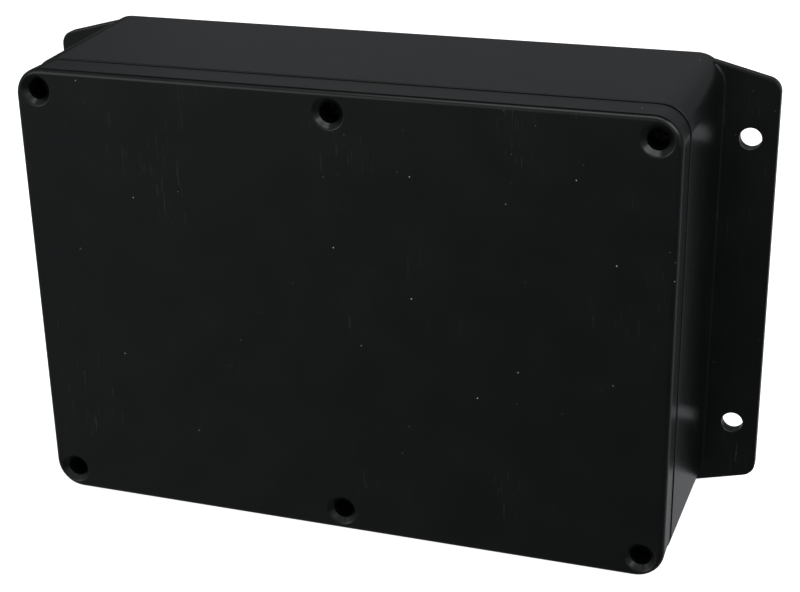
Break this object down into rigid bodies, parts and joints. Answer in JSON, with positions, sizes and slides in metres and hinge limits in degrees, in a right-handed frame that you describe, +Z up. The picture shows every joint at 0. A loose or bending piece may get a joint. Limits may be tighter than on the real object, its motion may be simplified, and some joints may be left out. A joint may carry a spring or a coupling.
{
  "type": "cellular signal booster",
  "caption": "Cellular signal booster: black flanged die-cast case with a screwed-on lid, antenna and power jacks on one end, and a shielded amplifier board with cavity duplexers inside.",
  "frame": {"origin": "centre of the flat mounting face at the back of the case and its flanges", "axes": "+X along the long side, away from the antenna jacks; +Y out of the mounting face, into the wall or panel it is fixed to, so the lid faces -Y; +Z up along the short side, as the case stands"},
  "size_m": [0.2042, 0.0554, 0.1238],
  "materials": {
    "case_paint": "satin black powder coat over cast aluminium",
    "black_steel": "black oxide",
    "seal_rubber": "matte",
    "gold_plate": "bright plated",
    "nickel_plate": "bright plated",
    "ptfe": "waxy white",
    "black_plastic": "moulded",
    "board_green": "solder mask over glass laminate",
    "tinplate": "tin plated sheet",
    "milled_aluminium": "machined",
    "thermal_pad": "soft matte",
    "chip_black": "moulded epoxy",
    "capacitor_sleeve": "shrink sleeve",
    "ferrite": "sintered",
    "coax_jacket": "brown jacket",
    "red_jacket": "jacket",
    "black_jacket": "jacket",
    "clear_plastic": "clear moulded",
    "cream_plastic": "moulded nylon",
    "light_chip": "phosphor"
  },
  "bodies": {
    "case": {"base_housing": "case_paint", "outdoor_jack_body": "gold_plate", "outdoor_jack_insulator": "ptfe", "outdoor_jack_contact": "gold_plate", "outdoor_jack_washer": "nickel_plate", "outdoor_jack_nut": "gold_plate", "outdoor_jack_seal": "seal_rubber", "outdoor_duplexer_body": "milled_aluminium", "outdoor_duplexer_cover": "milled_aluminium", "outdoor_coax_socket": "gold_plate", "outdoor_coax_plug": "gold_plate", "outdoor_coax_lead": "coax_jacket", "indoor_jack_body": "gold_plate", "indoor_jack_insulator": "ptfe", "indoor_jack_contact": "gold_plate", "indoor_jack_washer": "nickel_plate", "indoor_jack_nut": "gold_plate", "indoor_jack_seal": "seal_rubber", "indoor_duplexer_body": "milled_aluminium", "indoor_duplexer_cover": "milled_aluminium", "indoor_coax_socket": "gold_plate", "indoor_coax_plug": "gold_plate", "indoor_coax_lead": "coax_jacket", "power_jack_body": "black_plastic", "power_jack_pin": "nickel_plate", "power_jack_nut": "nickel_plate", "status_light_pipe": "clear_plastic", "status_light_chip": "light_chip", "main_board": "board_green", "board_screw_1": "nickel_plate", "board_screw_2": "nickel_plate", "board_screw_3": "nickel_plate", "board_screw_4": "nickel_plate", "heat_spreader": "milled_aluminium", "thermal_pad": "thermal_pad", "downlink_shield_frame": "tinplate", "downlink_shield_cover": "tinplate", "downlink_power_amplifier": "chip_black", "downlink_low_noise_amplifier": "chip_black", "uplink_shield_frame": "tinplate", "uplink_shield_cover": "tinplate", "uplink_power_amplifier": "chip_black", "uplink_low_noise_amplifier": "chip_black", "power_header": "cream_plastic", "power_plug": "cream_plastic", "red_power_lead": "red_jacket", "black_power_lead": "black_jacket", "bulk_capacitor_1": "capacitor_sleeve", "bulk_capacitor_2": "capacitor_sleeve", "power_inductor": "ferrite", "voltage_regulator": "chip_black", "control_chip": "chip_black"},
    "lid": {"lid": "case_paint", "lid_gasket": "seal_rubber"},
    "lid_screw_1": {"lid_screw_1": "black_steel"},
    "lid_screw_2": {"lid_screw_2": "black_steel"},
    "lid_screw_3": {"lid_screw_3": "black_steel"},
    "lid_screw_4": {"lid_screw_4": "black_steel"},
    "lid_screw_5": {"lid_screw_5": "black_steel"},
    "lid_screw_6": {"lid_screw_6": "black_steel"}
  },
  "joints": [
    {"name": "lid_lift", "type": "slide", "parent": "case", "child": "lid", "axis": [0, -1, 0], "range_m": [0, 0.06]},
    {"name": "lid_screw_1_unscrew", "type": "slide", "parent": "lid", "child": "lid_screw_1", "axis": [0, -1, 0], "range_m": [0, 0.0102]},
    {"name": "lid_screw_2_unscrew", "type": "slide", "parent": "lid", "child": "lid_screw_2", "axis": [0, -1, 0], "range_m": [0, 0.0102]},
    {"name": "lid_screw_3_unscrew", "type": "slide", "parent": "lid", "child": "lid_screw_3", "axis": [0, -1, 0], "range_m": [0, 0.0102]},
    {"name": "lid_screw_4_unscrew", "type": "slide", "parent": "lid", "child": "lid_screw_4", "axis": [0, -1, 0], "range_m": [0, 0.0102]},
    {"name": "lid_screw_5_unscrew", "type": "slide", "parent": "lid", "child": "lid_screw_5", "axis": [0, -1, 0], "range_m": [0, 0.0102]},
    {"name": "lid_screw_6_unscrew", "type": "slide", "parent": "lid", "child": "lid_screw_6", "axis": [0, -1, 0], "range_m": [0, 0.0102]}
  ]
}
